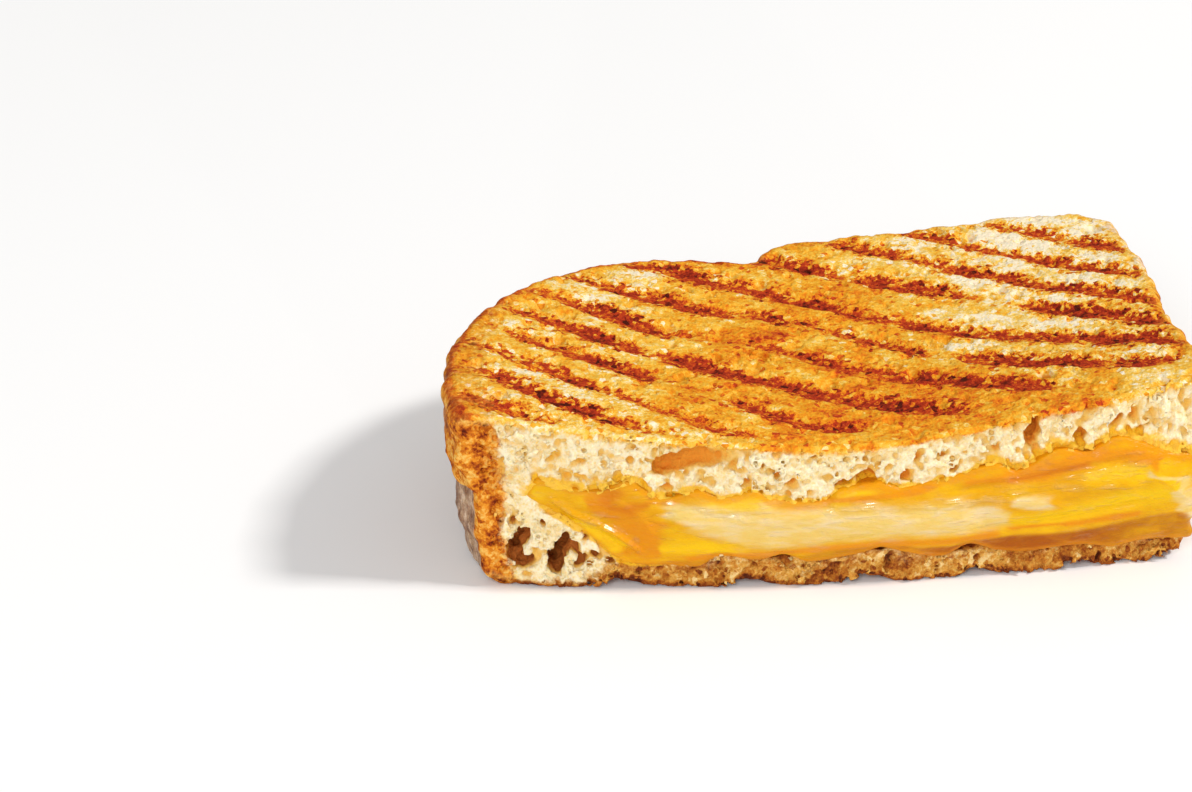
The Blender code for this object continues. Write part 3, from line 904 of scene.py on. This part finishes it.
def cheese_piece(low, high, first, last, proud):
    """One layer of the melted mass, between two surfaces and from a first to a last x."""
    axes = xs, ys, zs = (
        np.arange(first - 1.5, min(last, 66.0) + 1.5, CHEESE_STEP),
        depth_axis(-CUT_BULGE - 4.4, CRUST_DEPTH + 0.5, CHEESE_STEP, CHEESE_COARSE),
        np.arange(CHEESE_LOW_Z, CHEESE_HIGH_Z, CHEESE_STEP),
    )
    x, y = xs[:, None], ys[None, :]
    folds = CHEESE_FOLDS.grid(xs, ys, zs)
    out = standing_out(x, zs[None, :])[:, None, :] + proud
    front = (y - cut_line(x))[:, :, None] + out + FRONT_FOLDS * folds
    side = crust_depth(x, y)[:, :, None] - CHEESE_INSET + SIDE_FOLDS * folds
    below = cheese_top(x, y)[:, :, None] + 0.25 - zs
    above = zs - cheese_bottom(x, y)[:, :, None] + 0.2
    field = rounded((below, above, side), CHEESE_EDGE)
    field = np.maximum(field, rounded((front, side), FRONT_EDGE))
    field = np.maximum(field, low(x, y)[:, :, None] - zs)
    field = np.maximum(field, zs - high(x, y)[:, :, None])
    ends = np.minimum(x - first, last - x)[:, :, None] + END_FOLDS * folds
    points, faces = largest_body(*surface_net(np.maximum(field, -ends), axes))
    return relax(points, faces, 2), faces


def upper_cheddar():
    return cheese_piece(
        lambda x, y: white_surface(WHITE_TOP, x, y) - SEAM_OVERLAP,
        lambda x, y: cheese_top(x, y) + 2.0,
        UPPER_START - 1.2, 70.0, -0.04,
    )


def white_layer():
    return cheese_piece(
        lambda x, y: white_surface(WHITE_BOTTOM, x, y),
        lambda x, y: white_surface(WHITE_TOP, x, y),
        WHITE_TOP[0][0] + 0.5, WHITE_TOP[-1][0] - 0.5, 0.05,
    )


def lower_cheddar():
    return cheese_piece(
        lambda x, y: cheese_bottom(x, y) - 2.0,
        lambda x, y: white_surface(WHITE_BOTTOM, x, y) + SEAM_OVERLAP,
        LOWER_START - 2.0, 70.0, 0.0,
    )


def paint_cheese(obj):
    """Where the pale, orange and amber cheeses run into each other."""
    x, y, z = plan_points(obj)
    marbling = MARBLING.at(x, y, z)
    x_wavy, z_wavy = x + 3.0 * marbling, z + 0.7 * marbling
    amber = ease(0.8, -0.6, z + 0.2 * marbling - curve(AMBER_TOP, x))

    def lines(rows, sharp):
        return np.clip(sum(line(x_wavy, z_wavy, knots, sharp) for knots in rows), 0, 1)

    store(
        obj,
        pale=lines(PALE_LINES, 3),
        orange=lines(ORANGE_LINES, 2),
        burnt=lines(BURNT_LINES, 2),
        bright=lines(BRIGHT_LINES, 2),
        amber=amber * (0.55 + 0.45 * ease(4, 20, x) - 0.42 * ease(34, 56, x)),
        wet=lines(WET_LINES, 2),
        rim=ease(1.8, 0.2, cheese_top(x, y) - z)
        + 0.8 * ease(2, 0.2, z - cheese_bottom(x, y)),
    )


# ---- materials


class Value:
    """A shader socket that takes part in Python arithmetic: each operation adds a Math node."""

    def __init__(self, finish, socket):
        self.finish = finish
        self.socket = socket

    def math(self, operation, *others, clamp=False):
        settings = {"operation": operation, "use_clamp": clamp}
        return self.finish.node("ShaderNodeMath", settings, dict(enumerate((self, *others))))

    def __add__(self, other):
        return self.math("ADD", other)

    def __sub__(self, other):
        return self.math("SUBTRACT", other)

    def __mul__(self, other):
        return self.math("MULTIPLY", other)

    def __rsub__(self, other):
        return (self * -1) + other

    __radd__ = __add__
    __rmul__ = __mul__

    def clamp(self):
        return self.math("ADD", 0.0, clamp=True)

    def between(self, low, high):
        """A smooth step from 0 at low to 1 at high."""
        settings = {"interpolation_type": "SMOOTHSTEP"}
        sockets = {"Value": self, "From Min": low, "From Max": high}
        return self.finish.node("ShaderNodeMapRange", settings, sockets)


class Finish:
    """One material while its nodes are being made."""

    def __init__(self, name):
        self.material = bpy.data.materials.new(name)
        self.material.use_nodes = True
        self.tree = self.material.node_tree
        self.shader = self.tree.nodes["Principled BSDF"]
        self.place = self.node("ShaderNodeTexCoord", out="Object")

    def node(self, kind, settings=None, sockets=None, out=0):
        """Adds a node, sets it up, fills its sockets with values or links, gives one output."""
        made = self.tree.nodes.new(kind)
        for name, setting in (settings or {}).items():
            if name == "stops":
                self._set_stops(made.color_ramp, setting)
            else:
                setattr(made, name, setting)
        for name, value in (sockets or {}).items():
            self.feed(made.inputs[name], value)
        return Value(self, made.outputs[out])

    @staticmethod
    def _set_stops(ramp, stops):
        while len(ramp.elements) < len(stops):
            ramp.elements.new(1.0)
        for element, (position, colour) in zip(ramp.elements, stops):
            element.position = position
            element.color = (*colour, 1.0)

    def feed(self, socket, value):
        if isinstance(value, Value):
            self.tree.links.new(value.socket, socket)
        elif isinstance(value, tuple) and socket.type == "RGBA":
            socket.default_value = (*value, 1.0)
        else:
            socket.default_value = value

    def attribute(self, name):
        return self.node("ShaderNodeAttribute", {"attribute_name": name}, out="Fac")

    def noise(self, size, detail=2.0, roughness=0.5, stretch=(1, 1, 1)):
        """Smooth random values around 0.5, changing over a size in millimetres."""
        scaled = self.node(
            "ShaderNodeVectorMath", {"operation": "MULTIPLY"}, {0: self.place, 1: stretch}
        )
        sockets = {
            "Vector": scaled, "Scale": 1 / (size * MM), "Detail": detail, "Roughness": roughness,
        }
        return self.node("ShaderNodeTexNoise", None, sockets)

    def cells(self, size, out="Distance"):
        """Distance to the nearest of many scattered points, about a size apart."""
        sockets = {"Vector": self.place, "Scale": 1 / (size * MM)}
        return self.node("ShaderNodeTexVoronoi", None, sockets, out)

    def grains(self, size):
        """A random value from 0 to 1 for each of many touching grains."""
        colour = self.cells(size, "Color")
        return self.node("ShaderNodeSeparateColor", None, {"Color": colour}, "Red")

    def ramp(self, share, stops):
        return self.node("ShaderNodeValToRGB", {"stops": stops}, {"Fac": share})

    def mix(self, share, first, second):
        settings = {"data_type": "RGBA", "clamp_factor": True}
        return self.node("ShaderNodeMix", settings, {0: share, 6: first, 7: second}, out=2)

    def bump(self, height, distance, strength):
        sockets = {"Height": height, "Distance": distance * MM, "Strength": strength}
        return self.node("ShaderNodeBump", None, sockets)

    def set(self, **sockets):
        for name, value in sockets.items():
            self.feed(self.shader.inputs[name.replace("_", " ")], value)


TOAST_STOPS = (
    (0.0, (0.97, 0.83, 0.59)),
    (0.07, (0.95, 0.71, 0.29)),
    (0.18, (0.91, 0.55, 0.075)),
    (0.33, (0.86, 0.38, 0.02)),
    (0.49, (0.76, 0.2, 0.01)),
    (0.61, (0.57, 0.066, 0.012)),
    (0.75, (0.4, 0.031, 0.01)),
    (0.88, (0.22, 0.018, 0.007)),
    (1.0, (0.075, 0.01, 0.005)),
)
UNDER_STOPS = (
    (0.12, (0.86, 0.62, 0.26)),
    (0.26, (0.7, 0.37, 0.07)),
    (0.42, (0.5, 0.18, 0.022)),
    (0.58, (0.27, 0.062, 0.011)),
    (0.78, (0.09, 0.018, 0.007)),
)
CRUST_STOPS = (
    (0.2, (0.88, 0.52, 0.12)),
    (0.42, (0.78, 0.28, 0.02)),
    (0.6, (0.54, 0.13, 0.01)),
    (0.76, (0.26, 0.036, 0.007)),
    (0.9, (0.1, 0.014, 0.005)),
)
UPPER_SKIN = (
    (0.26, (0.66, 0.28, 0.05)),
    (0.5, (0.44, 0.13, 0.02)),
    (0.76, (0.22, 0.05, 0.012)),
)
LOWER_SKIN = (
    (0.28, (0.7, 0.54, 0.39)),
    (0.48, (0.4, 0.26, 0.17)),
    (0.72, (0.14, 0.07, 0.046)),
)
CRUMB = (0.93, 0.82, 0.57)
CRUMB_TAN = (0.85, 0.58, 0.15)
# Painted shade: the crumb colour for painted small holes and shallow pores, then golds and browns
# for deeper inside pores.
CRUMB_PAINTED_SHADE = (0.82, 0.57, 0.21)
PORE_SHADE_GOLD = (0.8, 0.46, 0.09)
DEEP_PORE_SHADE_GOLD = (0.74, 0.27, 0.028)
DEEP_PORE_SHADE_BROWN = (0.38, 0.11, 0.02)
SOAKED = (0.88, 0.49, 0.022)

# How brown a mark and the halo round it are, as shares of the way to burnt; a mark is browner
# still where it is charred and in its middle.
MARK_HEAT, HALO_HEAT, CHAR_HEAT, CORE_HEAT = 0.43, 0.46, 0.23, 0.1
OVERALL_HEAT = 0.035


def bread_finish(name, toast_stops, skin_stops, skin_stretch, deep_pore_shade):
    """Toasted bread: a cream crumb with painted shade in its pores and small holes, golden to
    charred toast, a granular crust and a skin.
    """
    bread = Finish(name)
    grain, fine, patches = bread.noise(1.2, 3.0, 0.6), bread.noise(0.45, 2.0), bread.noise(3.6)
    speck, flake = bread.grains(0.5), bread.grains(1.0)
    pits = bread.cells(0.9)
    toast, crust = bread.attribute("toast"), bread.attribute("crust")

    # The rib marks, with ragged edges, an orange halo and a darker core.
    char = bread.attribute("char")
    clumps, teeth = bread.noise(4.0, 2.0, 0.5, (0.5, 1, 1)), bread.noise(1.5, 3.0, 0.75)
    ragged = bread.attribute("rib") - (teeth - 0.5) * 7.0 - (clumps - 0.5) * 3.4 - char * 2.1
    ragged = ragged - (flake - 0.5) * 1.6
    # How brown the lands are, with the lower slice's painted gap shade.
    land = bread.attribute("browning")
    halo = ragged.between(2.2, 0) * (char * 1.6).clamp()
    heat = land + (HALO_HEAT - land) * halo * 0.75
    mark = ragged.between(0.5, -0.3) * (char * 2.6).clamp()
    core = ragged.between(-0.6, -3.4) * CORE_HEAT
    heat = heat + (char * CHAR_HEAT + MARK_HEAT + core - heat) * mark
    # Clumps, grains and flakes over marks and lands, and painted shade: browner where the relief
    # is low.
    heat = heat + (clumps - 0.5) * 0.45 + (teeth - 0.5) * (0.38 - mark * 0.25)
    heat = heat + (grain - 0.5) * 0.25 + OVERALL_HEAT
    heat = heat + (fine - 0.5) * 0.3 + ((speck - 0.5) * 0.11 + (flake - 0.5) * 0.11) * (1 + mark)
    heat = heat + flake.between(0.93, 0.97) * 0.16 - flake.between(0.06, 0.02) * 0.14
    # Painted shade: the toast ramp goes browner where the stored relief is low.
    toasted = bread.ramp(heat - bread.attribute("relief") * 0.12, toast_stops)

    # The crumb: cream with tan patches, small holes painted as shade, and painted shade inside the
    # pores, gold to brown the deeper it goes, showing most in large ones.
    cavity = bread.attribute("cavity")
    tan = (patches - 0.36) * 1.4 + (grain - 0.5) * 1.0 + (fine - 0.5) * 1.4
    crumb = bread.mix(tan + toast * 0.5 + crust * 0.7, CRUMB, CRUMB_TAN)
    crumb = bread.mix(pits.between(0.42, 0.12) * 0.5, crumb, CRUMB_TAN)
    # Painted shade: small holes painted darker in patches, and pressed in by the bump as well.
    painted_hole_shade = bread.cells(1.8).between(0.36, 0.22) * patches.between(0.4, 0.6)
    crumb = bread.mix(painted_hole_shade * 0.75, crumb, CRUMB_PAINTED_SHADE)
    # Painted shade inside pores: pale near the cut, gold and then brown deeper in.
    pore_shade_stops = (0.1, CRUMB_PAINTED_SHADE), (0.45, PORE_SHADE_GOLD), (0.9, deep_pore_shade)
    hollow = bread.ramp(cavity + (grain - 0.5) * 0.4, pore_shade_stops)
    crumb = bread.mix(cavity.between(0.02, 0.3), crumb, hollow)

    # The cut crust, and the loaf's smooth skin outside it.
    blotches = bread.noise(2.6, 3.0, 0.6) * 1.5 + (grain - 0.5) * 0.7 + (speck - 0.5) * 0.24
    crusty = bread.ramp(blotches - 0.25, CRUST_STOPS)
    stripes = bread.noise(0.8, 3.0, 0.6, skin_stretch)
    skin = bread.ramp(patches * 0.9 + stripes * 0.9 + (fine - 0.5) * 0.4 - 0.4, skin_stops)

    # Where each of them shows.
    toast_edge = (toast + (grain - 0.5) * 0.5 + (speck - 0.5) * 0.15).between(0.2, 0.9)
    crust_edge = (crust + (teeth - 0.5) * 1.6).between(0.15, 0.85)
    skin_edge = (bread.attribute("skin") + (clumps - 0.5) * 1.2).between(0.2, 0.8)
    colour = bread.mix(toast_edge, crumb, toasted)
    colour = bread.mix(crust_edge * (1 - toast * 0.65), colour, crusty)
    colour = bread.mix(skin_edge * 0.9, colour, skin)
    soak = (bread.attribute("soak") + (grain - 0.5) * 0.8).between(0.15, 0.65)
    colour = bread.mix(soak * 0.92, colour, SOAKED)

    height = pits * 0.6 - teeth * 0.5 - grain * 0.5 - fine * 0.8 - speck * 0.3 - painted_hole_shade * 0.5
    bread.set(
        Base_Color=colour,
        Roughness=0.8 - skin_edge * 0.34 - soak * 0.32,
        Normal=bread.bump(height, 0.45, 0.75),
        Subsurface_Weight=0.12,
        Subsurface_Radius=(1.0, 0.55, 0.22),
        Subsurface_Scale=0.001,
        Specular_IOR_Level=0.06,
    )
    return bread.material


YELLOW = (0.7, 0.335, 0.004)
BRIGHT_YELLOW = (0.83, 0.5, 0.006)
ORANGE = (0.7, 0.255, 0.006)
BURNT = (0.58, 0.15, 0.006)
PALE = (0.75, 0.52, 0.14)
PALE_CREAM = (0.78, 0.61, 0.32)
AMBER = (0.36, 0.085, 0.004)
AMBER_LIGHT = (0.62, 0.24, 0.012)


def cheese_finish(name):
    """Melted cheese: colours that run into each other, wet and slightly translucent."""
    cheese = Finish(name)
    clouds, streaks = cheese.noise(6.0, 3.0), cheese.noise(2.0, 3.0, stretch=(0.4, 1, 1.6))
    drift = (streaks - 0.5) * 0.9
    yellow = cheese.mix((clouds - 0.45) * 2.5, YELLOW, BRIGHT_YELLOW)
    amber = cheese.mix((clouds - 0.4) * 2.2 + drift * 1.2, AMBER, AMBER_LIGHT)
    cream = cheese.mix((streaks - 0.42) * 3.4, PALE, PALE_CREAM)
    colour = cheese.mix(cheese.attribute("bright") + drift, yellow, BRIGHT_YELLOW)
    for name, streaky, tint in (("orange", drift, ORANGE), ("amber", drift * 0.8, amber),
                                ("pale", drift * 0.7, cream)):
        colour = cheese.mix((cheese.attribute(name) + streaky).between(0, 1), colour, tint)
    colour = cheese.mix(cheese.attribute("burnt") * 0.7 + drift * 0.3, colour, BURNT)
    rim = (cheese.attribute("rim") + drift).between(0.2, 1)
    colour = cheese.mix(rim * 0.6, colour, ORANGE)
    waves = cheese.noise(2.6, 3.0, 0.6, (0.6, 1, 1.3))
    wet = ((streaks - 0.56) * 5.0 + cheese.attribute("wet")).clamp()
    cheese.set(
        Base_Color=colour,
        Roughness=0.34 + (streaks - 0.5) * 0.4,
        Normal=cheese.bump(waves + cheese.noise(1.3) * (wet * 0.6 + 0.12), 1.0, 0.7),
        Subsurface_Weight=0.15,
        Subsurface_Radius=(1.0, 0.5, 0.1),
        Subsurface_Scale=0.002,
        Coat_Weight=wet,
        Coat_Roughness=0.13,
        Specular_IOR_Level=0.1,
    )
    return cheese.material


def table_finish():
    table_top = Finish("pale_table")
    table_top.set(Base_Color=(0.97, 0.97, 0.97), Roughness=0.9, Specular_IOR_Level=0.1)
    return table_top.material


# ---- the pieces


def add_piece(name, shape, paint, material, node, most_triangles):
    obj = mesh_object(name, *shape)
    thin_out(obj, most_triangles)
    paint(obj)
    obj.data.materials.append(material)
    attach(obj, "root")
    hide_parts(node)


def make_sandwich():
    add_piece(
        "top_slice", top_slice(), paint_top_slice,
        bread_finish("toasted_top", TOAST_STOPS, UPPER_SKIN, (1, 1, 0.8), DEEP_PORE_SHADE_GOLD),
        "bread_top", MOST_TRIANGLES,
    )
    add_piece(
        "bottom_slice", bottom_slice(), paint_bottom_slice,
        bread_finish("toasted_bottom", UNDER_STOPS, LOWER_SKIN, (1, 1, 0.3), DEEP_PORE_SHADE_BROWN),
        "bread_bottom", MOST_TRIANGLES,
    )
    for name, layer_shape, look, node, slot in (
        ("yellow_cheese_above", upper_cheddar, "upper_cheese", "cheddar_upper",
         "yellow_cheese_upper"),
        ("pale_cheese_layer", white_layer, "middle_cheese", "white_cheese", "pale_cheese"),
        ("yellow_cheese_below", lower_cheddar, "lower_cheese", "cheddar_lower",
         "yellow_cheese_lower"),
    ):
        add_piece(name, layer_shape(), paint_cheese, cheese_finish(look), node,
                  CHEESE_TRIANGLES)


# ---- studio

# The camera's lens, its angles in degrees, and its distance and target in the plan's millimetres.
CAMERA_LENS = 100.0
CAMERA_AZIMUTH, CAMERA_ELEVATION = -4.734, 28.0
CAMERA_DISTANCE = 671.85
CAMERA_TARGET = (-41.36, 72.42, 0.0)
# Each light: azimuth and elevation in degrees, distance and size in metres, watts and colour.
LIGHTS = {
    "key": (80.0, 46.0, 3.0, 0.45, 53.0, (1.0, 0.98, 0.95)),
    "front_fill": (-20.0, 35.0, 3.0, 1.3, 36.0, (1.0, 1.0, 1.0)),
    "sparkle": (-12.0, 7.0, 2.0, 0.08, 3.2, (1.0, 1.0, 1.0)),
    "sparkle_right": (14.0, 7.0, 2.0, 0.08, 2.4, (1.0, 1.0, 1.0)),
}
SURROUND_LIGHT = 0.41
FLOOR_SIZE = 12.0


def direction(azimuth, elevation):
    """Towards an azimuth, from the front to the right, and an elevation, both in degrees."""
    azimuth, elevation = math.radians(azimuth), math.radians(elevation)
    level = math.cos(elevation)
    return Vector(
        (math.sin(azimuth) * level, -math.cos(azimuth) * level, math.sin(elevation))
    )


def aimed(data, location, back):
    """An object at a place, with a direction behind it."""
    obj = bpy.data.objects.new(data.name, data)
    obj.location = location
    obj.rotation_mode = "QUATERNION"
    obj.rotation_quaternion = back.to_track_quat("Z", "Y")
    bpy.context.scene.collection.objects.link(obj)
    return obj


def make_camera():
    data = bpy.data.cameras.new("camera")
    data.lens = CAMERA_LENS
    back = direction(CAMERA_AZIMUTH, CAMERA_ELEVATION)
    target = Vector(((np.array(CAMERA_TARGET) + ORIGIN) * MM).tolist())
    bpy.context.scene.camera = aimed(data, target + back * CAMERA_DISTANCE * MM, back)


def make_studio():
    bpy.ops.mesh.primitive_plane_add(size=FLOOR_SIZE)
    floor = bpy.context.object
    floor.name = "table_top"
    floor.data.materials.append(table_finish())
    for name, (azimuth, elevation, distance, size, power, colour) in LIGHTS.items():
        data = bpy.data.lights.new(name, "AREA")
        data.size, data.energy, data.color = size, power, colour
        towards = direction(azimuth, elevation)
        aimed(data, towards * distance, towards)
    world = bpy.data.worlds.new("studio")
    world.use_nodes = True
    surround = world.node_tree.nodes["Background"].inputs
    surround["Color"].default_value = (1.0, 1.0, 1.0, 1.0)
    surround["Strength"].default_value = SURROUND_LIGHT
    bpy.context.scene.world = world
    bpy.context.scene.view_settings.view_transform = "Standard"


make_sandwich()
make_camera()
make_studio()
